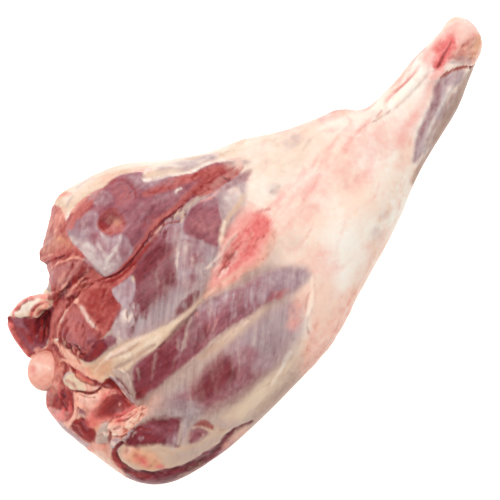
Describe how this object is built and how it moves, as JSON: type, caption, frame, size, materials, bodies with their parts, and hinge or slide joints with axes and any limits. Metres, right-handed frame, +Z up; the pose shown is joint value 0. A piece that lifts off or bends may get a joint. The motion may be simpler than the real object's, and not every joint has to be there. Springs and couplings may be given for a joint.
{
  "type": "raw leg of lamb",
  "caption": "Raw leg of lamb on the bone, shank attached, lying on its outer side with the cut hip end, ball joint and inner muscles showing.",
  "frame": {"origin": "centre of the plan outline, on the surface that the leg lies on", "axes": "+X from the cut hip end to the hock, +Z up out of the inner side, +Y towards the front thigh muscle"},
  "size_m": [0.384, 0.2005, 0.0828],
  "materials": {
    "meat": "moist raw muscle, silverskin and fat",
    "bone": "wet cartilage over bone"
  },
  "bodies": {
    "root": {"meat": "meat", "thigh_bone": "bone"}
  },
  "joints": []
}
